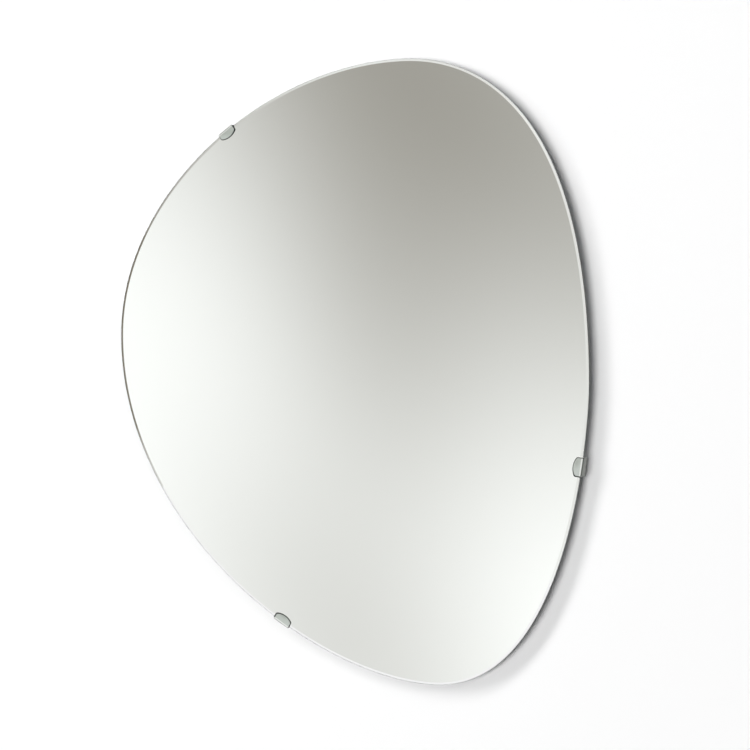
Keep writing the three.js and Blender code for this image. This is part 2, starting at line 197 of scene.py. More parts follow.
class FastenerSettings(PropertyGroup):
    """Screws, washers, rails and bumpers."""

    shank: length("Screw shank", 3.5, "Diameter over the thread")
    root: length("Screw root", 2.5, "Diameter between the threads")
    pitch: length("Thread pitch", 1.3, "From one turn of the thread to the next")
    tip: length("Screw tip", 2.5, "Length of the point")
    head: length("Screw head", 7, "Diameter of the head")
    head_height: length("Head height", 2.2, "Height of the head")
    recess: length("Recess", 3.9, "Span of the cross recess")
    recess_arm: length("Recess arm", 0.95, "Width of an arm of the recess")
    recess_depth: length("Recess depth", 1.5, "Depth of the recess")
    clearance: length("Hole clearance", 0.3, "Room round a shank")
    seat: length("Seat", 0.3, "Between two pieces that bear on each other")
    washer: length("Washer", 9, "Outer diameter of a washer")
    washer_thickness: length("Washer thickness", 0.8, "Thickness of a washer")
    twist_seed: IntProperty(name="Twist seed", description="Turns each screw to its own angle", default=7)
    bumper_diameter: length("Bumper", 22, "Diameter of a bumper at the board")
    bumper_taper: length("Bumper taper", 1.5, "How much smaller its radius is at the wall")
    bumper_head_room: length("Bumper head room", 0.8, "Round and over the screw's head")
    rail_thickness: length("Rail thickness", 2.5, "Thickness of the rails' section")
    rail_play: length("Rail play", 0.4, "Between the two hooked tongues")
    rail_flange: length("Rail flange", 20, "Height of the flat flange")
    rail_tongue: length("Rail tongue", 10, "Height of the tongue above its web")
    rail_corner: length("Rail corner", 0.6, "Rounding of the tongue's tip")
    rail_fillet: length("Rail fillet", 0.8, "Rounding inside the section's corners")
    rail_hole: length("Rail hole", 5, "Diameter of the screw holes")
    rail_hole_end: length("Rail hole end", 24, "From the end of a rail to its outer hole")
    rail_holes: IntProperty(name="Rail holes", description="Holes in each rail", default=4, min=2)
    aluminium: colour("Aluminium", (0.60, 0.61, 0.62), "Extruded rails")
    zinc: colour("Zinc", (0.40, 0.43, 0.46), "Screws and washers")
    straw: colour("Straw", (0.50, 0.46, 0.36), "Patches on the zinc")


class StageSettings(PropertyGroup):
    """Camera, lamps, wall and floor."""

    camera_azimuth: angle("Camera azimuth", 20, "Turn of the camera to the right of the glass")
    camera_distance: length("Camera distance", 2200, "From the camera to the glass")
    aim_x: length("Aim across", 18.8, "Where the middle of the view meets the glass, across")
    aim_z: length("Aim up", -174.8, "Where the middle of the view meets the glass, up")
    lens: FloatProperty(name="Lens", description="Focal length for a 36 mm sensor", default=91.35)
    floor_drop: length("Floor drop", 1100, "From the lowest point of the glass to the floor")
    lamp_distance: length("Lamp distance", 8000, "From the wall to the plane of each lamp")
    front_share: share("Front lamp share", 0.66, "Light on the wall from the lamp in front")
    side_share: share("Side lamp share", 0.06, "Light on the wall from the lamp at the upper right")
    key_share: share("Key lamp share", 0.36, "Light on the wall from the long lamp at the upper left")
    back_share: share("Back lamp share", 0.5, "Light on the back of the mirror, seen from behind")
    fill: share("Fill", 0.035, "Even light from the room")
    room_light: share("Room in the glass", 1.055, "Strength of the room that the glass reflects")


SETTINGS = {
    "pebble_glass": GlassSettings,
    "pebble_board": BoardSettings,
    "pebble_clips": ClipSettings,
    "pebble_fasteners": FastenerSettings,
    "pebble_stage": StageSettings,
}


# ---- Node trees ----
class Value:
    """One number of a node tree, which can stand in a Python sum."""

    def __init__(self, tree, socket):
        self.tree = tree
        self.socket = socket

    def math(self, operation, first, second=None):
        return self.tree.number("ShaderNodeMath", {0: first, 1: second}, operation=operation)

    def __add__(self, other):
        return self.math("ADD", self, other)

    __radd__ = __add__

    def __sub__(self, other):
        return self.math("SUBTRACT", self, other)

    def __rsub__(self, other):
        return self.math("SUBTRACT", other, self)

    def __mul__(self, other):
        return self.math("MULTIPLY", self, other)

    __rmul__ = __mul__

    def __truediv__(self, other):
        return self.math("DIVIDE", self, other)

    def __pow__(self, other):
        return self.math("POWER", self, other)

    def __abs__(self):
        return self.math("ABSOLUTE", self)

    def cosine(self):
        return self.math("COSINE", self)

    def exponent(self):
        return self.math("EXPONENT", self)

    def at_least(self, other):
        return self.math("MAXIMUM", self, other)

    def as_share(self):
        """Held between nothing and one."""
        return self.math("MINIMUM", self.at_least(0), 1)


class Tree:
    """A node tree, with one way to add a node."""

    def __init__(self, tree):
        self.tree = tree
        tree.nodes.clear()

    def node(self, kind, inputs=None, output=0, **settings):
        """Adds a node and returns one of its outputs, or the node where none is asked for."""
        made = self.tree.nodes.new(kind)
        for name, value in settings.items():
            setattr(made, name, value)
        for name, value in (inputs or {}).items():
            for one in value if isinstance(value, list) else [value]:
                self.feed(made.inputs[name], one)
        return made if output is None else made.outputs[output]

    def feed(self, socket, value):
        if isinstance(value, Value):
            value = value.socket
        if isinstance(value, bpy.types.NodeSocket):
            self.tree.links.new(value, socket)
        elif value is not None:
            socket.default_value = value

    def number(self, kind, inputs=None, output=0, **settings):
        return Value(self, self.node(kind, inputs, output, **settings))


class Shader(Tree):
    """The node tree of a material or world."""

    def __init__(self, owner):
        owner.use_nodes = True
        super().__init__(owner.node_tree)
        self.owner = owner

    def place(self, stretch=(1, 1, 1), output="Object"):
        """Coordinates on the piece, stretched along its axes."""
        coordinates = self.node("ShaderNodeTexCoord", output=output)
        return self.node("ShaderNodeMapping", {"Vector": coordinates, "Scale": stretch})

    def axes(self, vector):
        """The three numbers of a vector."""
        made = self.node("ShaderNodeSeparateXYZ", {0: vector}, None)
        return [Value(self, socket) for socket in made.outputs]

    def light_path(self, *names):
        """What kind of ray has met the surface."""
        path = self.node("ShaderNodeLightPath", output=None)
        return [Value(self, path.outputs[name]) for name in names]

    def noise(self, scale, detail=4.0, roughness=0.55, vector=None):
        vector = vector or self.place()
        inputs = {"Vector": vector, "Scale": scale, "Detail": detail, "Roughness": roughness}
        return self.number("ShaderNodeTexNoise", inputs)

    def mix(self, factor, first, second):
        """One colour turning into another."""
        rgba = lambda value: value if isinstance(value, bpy.types.NodeSocket) else (*value, 1)
        inputs = {0: factor, 6: rgba(first), 7: rgba(second)}
        return self.node("ShaderNodeMix", inputs, 2, data_type="RGBA")

    def shades(self, factor, value, low, high):
        """A darker shade of a colour turning into a lighter one."""
        return self.mix(factor, tone(value, low), tone(value, high))

    def blend(self, factor, first, second):
        """One surface turning into another."""
        return self.node("ShaderNodeMixShader", {0: factor, 1: first, 2: second})

    def bump(self, height, distance, strength=1.0):
        inputs = {"Height": height, "Distance": distance, "Strength": strength}
        return self.node("ShaderNodeBump", inputs)

    def surface(self, volume=None, **inputs):
        """The principled surface; underscores in the names stand for spaces."""
        named = {name.replace("_", " "): value for name, value in inputs.items()}
        return self.ends_with(self.node("ShaderNodeBsdfPrincipled", named), volume)

    def ends_with(self, surface, volume=None):
        """Feeds the output and returns the material or world."""
        kind = "World" if isinstance(self.owner, bpy.types.World) else "Material"
        self.node(f"ShaderNodeOutput{kind}", {"Surface": surface, "Volume": volume}, None)
        return self.owner


def finish(name):
    """The shader of a new material."""
    return Shader(bpy.data.materials.new(name))


def tone(value, share):
    """A colour made lighter or darker."""
    return tuple(min(1.0, channel * share) for channel in value)


# ---- Finishes ----
def clear_glass(glass):
    shader = finish("clear_float_glass")
    inside = shader.node("ShaderNodeVolumeAbsorption", {"Color": (*glass.tint, 1), "Density": 11.0})
    return shader.surface(inside, Base_Color=(1, 1, 1, 1), Roughness=0.0, IOR=1.52, Transmission_Weight=1.0)


def silver_coating():
    """Silver in front and grey backing paint behind."""
    shader = finish("silver_coating")
    towards_wall = shader.axes(shader.node("ShaderNodeNewGeometry", output="Normal"))[1]
    painted = (towards_wall * 20).as_share()
    cloud = shader.noise(60, 4)
    paint = shader.mix(cloud, (0.15, 0.165, 0.17), (0.21, 0.225, 0.23))
    return shader.surface(
        Base_Color=shader.mix(painted, (0.955, 0.955, 0.957), paint),
        Metallic=1 - painted,
        Roughness=painted * (0.35 + cloud * 0.2),
    )


def scrim_film(board):
    """Grey film with a woven scrim pressed into it."""
    shader = finish("scrim_film")
    thread_pitch = 2.4 * MILLIMETRE
    across, unused, up = shader.axes(shader.place())
    wave = lambda along: abs((along * (math.pi / thread_pitch)).cosine()) ** 14
    threads = wave(across).at_least(wave(up))
    blotch = shader.noise(14)
    grain = shader.noise(900, 2)
    base = shader.shades(blotch, board.film, 0.8, 1.25)
    return shader.surface(
        Base_Color=shader.mix(threads * 0.5, base, tone(board.film, 2.1)),
        Roughness=0.5 + blotch * 0.25 - threads * 0.1,
        Normal=shader.bump(threads + grain * 0.25, 0.12 * MILLIMETRE),
    )


def painted_board(board):
    """Black roller paint with a fine stipple, rubbed a little in places."""
    shader = finish("painted_board")
    stipple = shader.noise(1100, 3)
    cloud = shader.noise(9, 5)
    rub = shader.noise(38, 6, 0.7)
    worn = ((rub - 0.58) * 6).as_share()
    base = shader.shades(cloud, board.paint, 0.75, 1.5)
    return shader.surface(
        Base_Color=shader.mix(worn * 0.35, base, (0.055, 0.05, 0.045)),
        Roughness=0.52 + cloud * 0.2 + worn * 0.12,
        Normal=shader.bump(stipple + rub * 0.6, 0.12 * MILLIMETRE),
    )


def satin_steel(clips, plan):
    """Grain along the strip, a painted highlight as a light band across the bend, and painted shade that
    darkens the leg behind the bend.
    """
    shader = finish("satin_steel")
    grain = shader.noise(1.0, 4, 0.6, shader.place((260, 9000, 1), "UV"))
    cloud = shader.noise(160, 3)
    along = shader.axes(shader.place((1, 1, 1), "UV"))[0]
    crest, blur = 0.7 * MILLIMETRE, 0.2 * MILLIMETRE
    past = lambda place: ((along - place) / blur).as_share()
    leg = past(plan.bend_along + crest)
    # Painted highlight: a light band across the crest of the bend.
    painted_bend_highlight = past(plan.bend_along - crest) - leg
    # Painted shade: darkens the sheet from past the crest of the bend down the leg to the foot.
    painted_leg_shade = leg - past(plan.foot_along)
    brushed = shader.shades(grain * 0.6 + cloud * 0.4, clips.steel, 0.92, 1.08)
    return shader.surface(
        Base_Color=shader.mix(painted_leg_shade, shader.mix(painted_bend_highlight, brushed, clips.painted_highlight_steel), clips.painted_shade_steel),
        Metallic=1.0,
        Roughness=0.22 + grain * 0.12 + cloud * 0.05,
        Normal=shader.bump(grain, 0.012 * MILLIMETRE, 0.6),
    )


def soft_rubber(clips):
    shader = finish("soft_rubber")
    bloom = shader.noise(220, 4)
    pores = shader.noise(2600, 2)
    return shader.surface(
        Base_Color=shader.shades(bloom, clips.rubber, 0.8, 1.9),
        Roughness=0.62 + bloom * 0.25,
        Normal=shader.bump(pores, 0.06 * MILLIMETRE),
    )


def drawn_aluminium(fasteners):
    """Draw lines along the extrusion under a thin matt oxide."""
    shader = finish("drawn_aluminium")
    lines = shader.noise(1.0, 5, 0.65, shader.place((4, 1900, 1900)))
    cloud = shader.noise(60, 4)
    return shader.surface(
        Base_Color=shader.shades(lines, fasteners.aluminium, 0.86, 1.12),
        Metallic=1.0,
        Roughness=0.3 + lines * 0.16 + cloud * 0.08,
        Normal=shader.bump(lines, 0.04 * MILLIMETRE, 0.8),
    )


def zinc_plate(fasteners):
    """Passivated zinc: a bluish silver with faint straw-coloured patches."""
    shader = finish("zinc_plate")
    patch = shader.noise(420, 3)
    pits = shader.noise(2400, 2)
    stain = ((patch - 0.42) * 4).as_share() * 0.55
    return shader.surface(
        Base_Color=shader.mix(stain, fasteners.zinc, fasteners.straw),
        Metallic=1.0,
        Roughness=0.26 + patch * 0.2,
        Normal=shader.bump(pits, 0.03 * MILLIMETRE, 0.7),
    )


# ---- Meshes ----
def wall_point(across, up, from_wall):
    """A point given as it is seen from the front."""
    return Vector((across, -from_wall, up))


def middle_of(node):
    low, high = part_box(node)
    return (low + high) / 2


def nodes_named(prefix):
    return sorted(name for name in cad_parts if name.startswith(prefix))


def ring_mesh(name, rings, matrix=None, smooth_below=30, closes=False):
    """Rings of points joined in order, and capped at both ends or joined last to first. A ring
    of one point is a pole."""
    work = bmesh.new()
    matrix = matrix or Matrix.Identity(4)
    layers = [[work.verts.new(matrix @ Vector(point)) for point in ring] for ring in rings]
    for near, far in zip(layers, layers[1:] + layers[:1] if closes else layers[1:]):
        for i in range(max(len(near), len(far))):
            corners = [near[i % len(near)], near[(i + 1) % len(near)]]
            corners += [far[(i + 1) % len(far)], far[i % len(far)]]
            work.faces.new(list(dict.fromkeys(corners)))
    for layer in (layers[0], layers[-1]):
        if len(layer) > 2 and not closes:
            work.faces.new(layer)
    bmesh.ops.recalc_face_normals(work, faces=work.faces)
    return as_mesh(name, work, smooth_below)


def turned_mesh(name, profile, steps, matrix, closes=False):
    """A profile of (radius, height) points turned round the height axis."""
    rings = []
    for radius, height in profile:
        turns = [2 * math.pi * i / steps for i in range(steps if radius > 0 else 1)]
        rings.append([(radius * math.cos(turn), radius * math.sin(turn), height) for turn in turns])
    return ring_mesh(name, rings, matrix, closes=closes)


def as_mesh(name, work, smooth_below=30):
    mesh = bpy.data.meshes.new(name)
    work.to_mesh(mesh)
    work.free()
    return shaded(mesh, smooth_below)


def shaded(mesh, smooth_below):
    """Smooth faces with crisp edges where the surface turns by more than an angle."""
    mesh.shade_smooth()
    mesh.set_sharp_from_angle(angle=math.radians(smooth_below))
    return mesh


def joined(name, meshes):
    """Several meshes in one."""
    work = bmesh.new()
    for mesh in meshes:
        work.from_mesh(mesh)
        bpy.data.meshes.remove(mesh)
    return as_mesh(name, work)


def plain_mesh(name, points, faces=()):
    mesh = bpy.data.meshes.new(name)
    mesh.from_pydata([tuple(point) for point in points], [], faces)
    return mesh


def linked(name, mesh):
    made = bpy.data.objects.new(name, mesh)
    bpy.context.scene.collection.objects.link(made)
    return made


def applied(made):
    """The object with its modifiers made part of its mesh."""
    bpy.context.view_layer.update()
    evaluated = made.evaluated_get(bpy.context.evaluated_depsgraph_get())
    mesh = bpy.data.meshes.new_from_object(evaluated)
    made.modifiers.clear()
    made.data = shaded(mesh, 30)
    return made


def cut(made, cutter_mesh):
    """Takes a mesh away from an object."""
    cutter = linked("cutter", cutter_mesh)
    modifier = made.modifiers.new("cut", "BOOLEAN")
    modifier.operation = "DIFFERENCE"
    modifier.solver = "EXACT"
    modifier.object = cutter
    applied(made)
    bpy.data.objects.remove(cutter)
    return made


def rounded(made, width, above=50):
    """Rounds every edge that turns by more than an angle."""
    modifier = made.modifiers.new("rounded", "BEVEL")
    modifier.width = width
    modifier.segments = 2
    modifier.limit_method = "ANGLE"
    modifier.angle_limit = math.radians(above)
    return applied(made)


def dress(made, body, slot, material, *nodes):
    """Gives a finished piece its material and body, and lets it stand for its nodes; its slot is not used."""
    made.data.materials.clear()
    made.data.materials.append(material)
    made.data.name = made.name
    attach(made, body)
    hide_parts(*nodes)


# ---- Edge of the glass ----
def edge_places(glass, steps):
    """Points of the edge with their outward directions, anticlockwise as seen from the front."""
    left = Vector((glass_low.x, glass_middle.y + glass.left_point_up))
    top = Vector((glass_middle.x + glass.top_point_right, glass_high.z))
    right = Vector((glass_high.x, glass_middle.y - glass.right_point_down))
    bottom = Vector((glass_middle.x + glass.bottom_point_right, glass_low.z))
    curves = [
        (left, (0, glass.left_pull_up), (-glass.top_pull_left, 0), top),
        (top, (glass.top_pull_right, 0), (0, glass.right_pull_up), right),
        (right, (0, -glass.right_pull_down), (glass.bottom_pull_right, 0), bottom),
        (bottom, (-glass.bottom_pull_left, 0), (0, -glass.left_pull_down), left),
    ]
    places = []
    for start, start_pull, end_pull, end in curves:
        knots = [start, start + Vector(start_pull), end + Vector(end_pull), end]
        for i in range(steps):
            places.append(curve_place(knots, i / steps))
    return places[::-1]


def curve_place(knots, t):
    """A point of a cubic curve with the direction to the left of its travel."""
    s = 1 - t
    weights = (s**3, 3 * s * s * t, 3 * s * t * t, t**3)
    slopes = (s * s, 2 * s * t, t * t)
    nothing = Vector((0, 0))
    point = sum((knot * weight for knot, weight in zip(knots, weights)), nothing)
    pulls = zip(knots, knots[1:], slopes)
    travel = sum(((far - near) * slope for near, far, slope in pulls), nothing).normalized()
    return point, Vector((-travel.y, travel.x))


def edge_ring(glass, inset, from_wall, steps):
    """The edge of the glass moved inwards, at a distance from the wall."""
    ring = []
    for point, outward in edge_places(glass, steps):
        moved = point - outward * inset
        ring.append(wall_point(moved.x, moved.y, from_wall))
    return ring


def edge_plate(name, glass, levels, steps, smooth_below=30):
    """A plate of the glass's outline: one ring for each (inset, distance from the wall)."""
    rings = [edge_ring(glass, inset, from_wall, steps) for inset, from_wall in levels]
    return linked(name, ring_mesh(name, rings, smooth_below=smooth_below))


# ---- Clips ----
class ClipPlan:
    """Sizes of a clip that follow from its settings and from the pieces that it holds."""

    def __init__(self, settings):
        clips = settings.pebble_clips
        board = settings.pebble_board
        fasteners = settings.pebble_fasteners
        seat = fasteners.seat
        self.glass_front = -glass_low.y
        self.board_back = -board_high.y
        self.tab_middle = self.glass_front + clips.pad_thickness + 2 * seat + clips.sheet / 2
        self.foot_front = self.board_back + board.pocket_depth - seat
        self.foot_middle = self.foot_front - clips.sheet / 2
        self.leg_inner = clips.pad_thickness + 2 * seat
        self.bend_start = self.leg_inner - clips.bend
        self.middle_radius = clips.bend + clips.sheet / 2
        self.leg = self.tab_middle - self.foot_middle - 2 * self.middle_radius
        self.bend_along = self.bend_start + clips.reach
        self.foot_along = self.bend_along + self.leg + math.pi * self.middle_radius
        self.travel = clips.reach + clips.travel_spare
        self.screw_in = board.inset + clips.screw_from_edge
        self.slot_width = fasteners.shank + 2 * fasteners.clearance
        self.foot_reach = self.screw_in + self.travel + self.slot_width / 2 + clips.foot_margin
        self.washer_top = self.foot_front - clips.sheet - seat
        self.screw_seat = self.washer_top - fasteners.washer_thickness - seat
        self.screw_sides = (-clips.screw_spacing / 2, clips.screw_spacing / 2)


def clip_frames(settings):
    """Each clip's name with the matrix that takes its own frame to its place on the edge."""
    places = edge_places(settings.pebble_glass, 2000)
    frames = {}
    for name in ("upper", "lower", "side"):
        bearing = getattr(settings.pebble_clips, f"{name}_bearing")
        aim = Vector((math.cos(bearing), math.sin(bearing)))
        point, outward = max(places, key=lambda place: (place[0] - glass_middle).normalized().dot(aim))
        across = (outward.x, -outward.y, 0, point.x)
        up = (outward.y, outward.x, 0, point.y)
        frames[name] = Matrix((across, (0, 0, -1, 0), up, (0, 0, 0, 1)))
    return frames


class BentLine:
    """The side view of a bent strip's middle: straight runs and quarter bends towards the wall."""

    def __init__(self, start, runs, radius, bend_steps=12):
        self.start = start
        self.runs = runs
        self.radius = radius
        self.bend_steps = bend_steps
        self.bend_length = radius * math.pi / 2

    def length(self):
        return sum(self.runs) + self.bend_length * (len(self.runs) - 1)

    def run_start(self, index):
        return sum(self.runs[:index]) + self.bend_length * index

    def cuts(self):
        """Distances along the strip where its flat blank is divided."""
        places = []
        for index in range(1, len(self.runs)):
            bend_end = self.run_start(index)
            for i in range(self.bend_steps + 1):
                places.append(bend_end - self.bend_length * (1 - i / self.bend_steps))
        return places

    def at(self, distance):
        """Outward place and distance from the wall, so far along the strip."""
        outward, from_wall = self.start
        heading = 0.0
        left = distance
        for index, run in enumerate(self.runs):
            last = index == len(self.runs) - 1
            step = left if last else min(left, run)
            outward += step * math.cos(heading)
            from_wall += step * math.sin(heading)
            left -= step
            if left <= 0 or last:
                break
            turn = min(left, self.bend_length) / self.radius
            outward += self.radius * (math.sin(heading) - math.sin(heading - turn))
            from_wall += self.radius * (math.cos(heading - turn) - math.cos(heading))
            heading -= turn
            left -= turn * self.radius
        return outward, from_wall


def quadratic(start, pull, end, steps):
    """Points of a quadratic curve after its start."""
    points = []
    for i in range(1, steps + 1):
        t = i / steps
        a, b, c = (1 - t) ** 2, 2 * t * (1 - t), t * t
        points.append((a * start[0] + b * pull[0] + c * end[0], a * start[1] + b * pull[1] + c * end[1]))
    return points


def softened(corners):
    """An outline from its corners, as (place, rounding, steps); a single step cuts one off."""
    points = []
    for i, (place, rounding, steps) in enumerate(corners):
        place, before, after = [Vector(corners[j % len(corners)][0]) for j in (i, i - 1, i + 1)]
        start = place + (before - place).normalized() * rounding
        end = place + (after - place).normalized() * rounding
        points += [start] + quadratic(start, place, end, steps)
    return points


def arc(centre, radius, start, end, steps):
    """Points of an arc, both ends included, as (along the strip, across it)."""
    points = []
    for i in range(steps + 1):
        turn = start + (end - start) * i / steps
        points.append((centre[0] + radius * math.cos(turn), centre[1] + radius * math.sin(turn)))
    return points


def round_tip(clips, margin):
    """The D-shaped end of the tab, from one straight side round to the other."""
    half = clips.width / 2 + margin
    rise = clips.reach - clips.straight
    radius = (half * half + rise * rise) / (2 * rise)
    corner_turn = math.asin((half - clips.corner) / radius)
    side = (rise + clips.corner, half)
    meet = (radius - radius * math.cos(corner_turn), radius * math.sin(corner_turn))
    upper = [side] + quadratic(side, (rise, half), meet, 6)
    round_end = arc((radius, 0), radius, math.pi - corner_turn, math.pi + corner_turn, 20)[1:-1]
    lower = [(along, -across) for along, across in reversed(upper)]
    return upper + round_end + lower


def slot_loop(start, end, across, width):
    """A long round-ended hole."""
    half_turn = math.pi / 2
    first = arc((start, across), width / 2, half_turn, 3 * half_turn, 14)
    return first + arc((end, across), width / 2, -half_turn, half_turn, 14)


def bent_sheet(name, loops, line, thickness, edge_round, matrix):
    """A flat blank, given by its outline and holes, divided at its bends, bent and thickened."""
    work = bmesh.new()
    for loop in loops:
        corners = [work.verts.new((along, across, 0)) for along, across in loop]
        for first, second in zip(corners, corners[1:] + corners[:1]):
            work.edges.new((first, second))
    bmesh.ops.triangle_fill(work, edges=work.edges, use_beauty=True)
    for place in line.cuts():
        everything = work.verts[:] + work.edges[:] + work.faces[:]
        bmesh.ops.bisect_plane(work, geom=everything, plane_co=(place, 0, 0), plane_no=(1, 0, 0), dist=1e-7)
    grain = work.loops.layers.uv.new("grain")
    for face in work.faces:
        for corner in face.loops:
            corner[grain].uv = corner.vert.co.xy
    for vertex in work.verts:
        along, across, unused = vertex.co
        outward, from_wall = line.at(along)
        vertex.co = matrix @ Vector((outward, across, from_wall))
    bmesh.ops.recalc_face_normals(work, faces=work.faces)
    made = linked(name, as_mesh(name, work))
    thicken = made.modifiers.new("sheet", "SOLIDIFY")
    thicken.thickness = thickness
    thicken.offset = 0
    thicken.use_even_offset = True
    return rounded(applied(made), edge_round)


def clip_sheet(name, settings, matrix):
    clips = settings.pebble_clips
    plan = ClipPlan(settings)
    runs = [plan.bend_along, plan.leg, plan.bend_start + plan.foot_reach]
    line = BentLine((-clips.reach, plan.tab_middle), runs, plan.middle_radius)
    half = clips.width / 2
    corner = clips.foot_corner
    end = line.length()
    quarter = math.pi / 2
    outline = round_tip(clips, 0)
    outline += arc((end - corner, corner - half), corner, -quarter, 0, 8)
    outline += arc((end - corner, half - corner), corner, 0, quarter, 8)
    slot_near = plan.foot_along + plan.bend_start + plan.screw_in
    slot_far = slot_near + plan.travel
    slots = [slot_loop(slot_near, slot_far, side, plan.slot_width) for side in plan.screw_sides]
    return bent_sheet(name, [outline, *slots], line, clips.sheet, clips.edge_round, matrix)


def pad_sheet(name, settings, matrix, margins):
    """The rubber: a lip on the glass and a web down its edge, showing more on one side. It is a real pad, and
    the dark margin that shows also stands in for painted shade round the tab.
    """
    clips = settings.pebble_clips
    right, left, end = margins
    seat = settings.pebble_fasteners.seat
    plan = ClipPlan(settings)
    half_sheet = clips.pad_thickness / 2
    lip_middle = plan.glass_front + seat + half_sheet
    radius = clips.bend - seat - half_sheet
    reach = clips.reach + end
    lip = reach + seat + half_sheet - radius
    web = clips.pad_depth - half_sheet - radius
    line = BentLine((-reach, lip_middle), [lip, web], radius, 6)
    margin = (right + left) / 2
    half = clips.width / 2 + margin
    outline = round_tip(clips, margin) + [(line.length(), -half), (line.length(), half)]
    aside = matrix @ Matrix.Translation((0, left - margin, 0))
    return bent_sheet(name, [outline], line, clips.pad_thickness, clips.pad_round, aside)


# ---- Geometry Nodes ----
class Recipe(Tree):
    """A geometry node tree with named inputs."""

    def __init__(self, name):
        super().__init__(bpy.data.node_groups.new(name, "GeometryNodeTree"))
        self.sockets = {}
        self.tree.interface.new_socket("Geometry", in_out="OUTPUT", socket_type="NodeSocketGeometry")
        self.source = self.tree.nodes.new("NodeGroupInput")

    def input(self, name, kind, default=None):
        made = self.tree.interface.new_socket(name, in_out="INPUT", socket_type=f"NodeSocket{kind}")
        if default is not None:
            made.default_value = default
        self.sockets[name] = made.identifier
        socket = self.source.outputs[name]
        return Value(self, socket) if kind in ("Float", "Int") else socket

    def vector(self, **axes):
        return self.node("ShaderNodeCombineXYZ", axes)

    def set_on(self, points, shape, rotation):
        """Sets a shape on every point."""
        inputs = {"Points": points, "Instance": shape, "Rotation": rotation}
        return self.node("GeometryNodeInstanceOnPoints", inputs)

    def ends_with(self, geometry, material):
        real = self.node("GeometryNodeRealizeInstances", {0: geometry})
        finished = self.node("GeometryNodeSetMaterial", {"Geometry": real, "Material": material})
        self.node("NodeGroupOutput", {0: finished}, None)
        return self

    def make(self, name, mesh, values):
        """Runs the recipe on a mesh and returns the result as a plain object."""
        made = linked(name, mesh)
        modifier = made.modifiers.new(name, "NODES")
        modifier.node_group = self.tree
        for title, value in values.items():
            modifier[self.sockets[title]] = value
        return applied(made)


QUARTER_TURN = (math.pi / 2, 0, 0)


def screws_recipe():
    """Sets a screw on every point, each turned to its own angle round its axis."""
    recipe = Recipe("screws_on_seats")
    seats = recipe.input("Seats", "Geometry")
    screw = recipe.input("Screw", "Object")
    widest = recipe.input("Widest twist", "Float", math.pi / 2)
    seed = recipe.input("Seed", "Int", 0)
    material = recipe.input("Finish", "Material")
    shape = recipe.node("GeometryNodeObjectInfo", {"Object": screw}, "Geometry")
    twist = recipe.node("FunctionNodeRandomValue", {3: widest, "Seed": seed}, 1, data_type="FLOAT")
    return recipe.ends_with(recipe.set_on(seats, shape, recipe.vector(Y=twist)), material)


def washers_recipe():
    """Sets a washer on every point: a rounded section swept round a circle, flat to the wall."""
    recipe = Recipe("washers_on_seats")
    seats = recipe.input("Seats", "Geometry")
    names = ("Inner radius", "Outer radius", "Thickness", "Corner")
    inner, outer, thickness, corner = [recipe.input(name, "Float") for name in names]
    material = recipe.input("Finish", "Material")
    middle, width = (inner + outer) * 0.5, outer - inner
    circle = recipe.node("GeometryNodeCurvePrimitiveCircle", {"Resolution": 48, "Radius": middle})
    section = recipe.node("GeometryNodeCurvePrimitiveQuadrilateral", {"Width": width, "Height": thickness})
    fillet = {"Curve": section, "Radius": corner, "Count": 2}
    soft = recipe.node("GeometryNodeFilletCurve", fillet, mode="POLY")
    ring = recipe.node("GeometryNodeCurveToMesh", {"Curve": circle, "Profile Curve": soft})
    return recipe.ends_with(recipe.set_on(seats, ring, QUARTER_TURN), material)


def rail_recipe():
    """Draws a section out along the rail and drills a row of holes through its flange."""
    recipe = Recipe("drilled_rail")
    section = recipe.input("Section", "Geometry")
    count = recipe.input("Holes", "Int", 4)
    names = ("Length", "End distance", "Hole radius", "Drill length", "Hole height")
    long, end, radius, deep, height = [recipe.input(name, "Float") for name in names]
    material = recipe.input("Finish", "Material")
    travel = {"Mesh": section, "Offset": recipe.vector(X=long), "Individual": False}
    drawn = recipe.node("GeometryNodeExtrudeMesh", travel, mode="FACES")
    near_end = recipe.node("GeometryNodeFlipFaces", {0: section})
    both = recipe.node("GeometryNodeJoinGeometry", {0: [drawn, near_end]})
    bar = recipe.node("GeometryNodeMergeByDistance", {"Geometry": both, "Distance": 1e-6})
    start = recipe.vector(X=end - long * 0.5, Z=height)
    step = recipe.vector(X=(long - end * 2.0) / (count - 1.0))
    row = recipe.node("GeometryNodeMeshLine", {"Count": count, "Start Location": start, "Offset": step})
    drill = recipe.node("GeometryNodeMeshCylinder", {"Vertices": 40, "Radius": radius, "Depth": deep})
    holes = recipe.node("GeometryNodeRealizeInstances", {0: recipe.set_on(row, drill, QUARTER_TURN)})
    parts = {"Mesh 1": bar, "Mesh 2": holes}
    drilled = recipe.node("GeometryNodeMeshBoolean", parts, operation="DIFFERENCE", solver="EXACT")
    return recipe.ends_with(drilled, material)


# ---- Screws, rails and bumpers ----
def toward_wall(place):
    """A turned shape's frame at a place: its height axis runs away from the wall."""
    return Matrix.Translation(place) @ Matrix.Rotation(math.pi / 2, 4, "X")


def screw_shape(fasteners, reach):
    """A pan-head screw seated at the origin, its head towards the wall and its tip at reach."""
    head, crown = fasteners.head / 2, fasteners.head_height
    shank, root, pitch = fasteners.shank / 2, fasteners.root / 2, fasteners.pitch
    brim = 0.24  # share of the head's height below its dome
    steps = 14
    profile = [(0, -crown)]
    for i in range(1, steps):
        turn = math.pi / 2 * i / steps
        height = brim + (1 - brim) * math.cos(turn) ** 0.9
        profile.append((head * math.sin(turn) ** 0.86, -crown * height))
    profile += [(head, -crown * brim), (head, -crown * 0.07), (head * 0.97, 0), (root, 0)]
    for i in range(int((reach - fasteners.tip) / pitch)):
        base = (i + 0.35) * pitch
        profile += [(root, base), (shank, base + pitch * 0.3), (root, base + pitch * 0.6)]
    profile += [(root, reach - fasteners.tip), (0, reach)]
    made = linked("screw", turned_mesh("screw", profile, 36, toward_wall((0, 0, 0))))
    return cut(made, recess_mesh(fasteners))


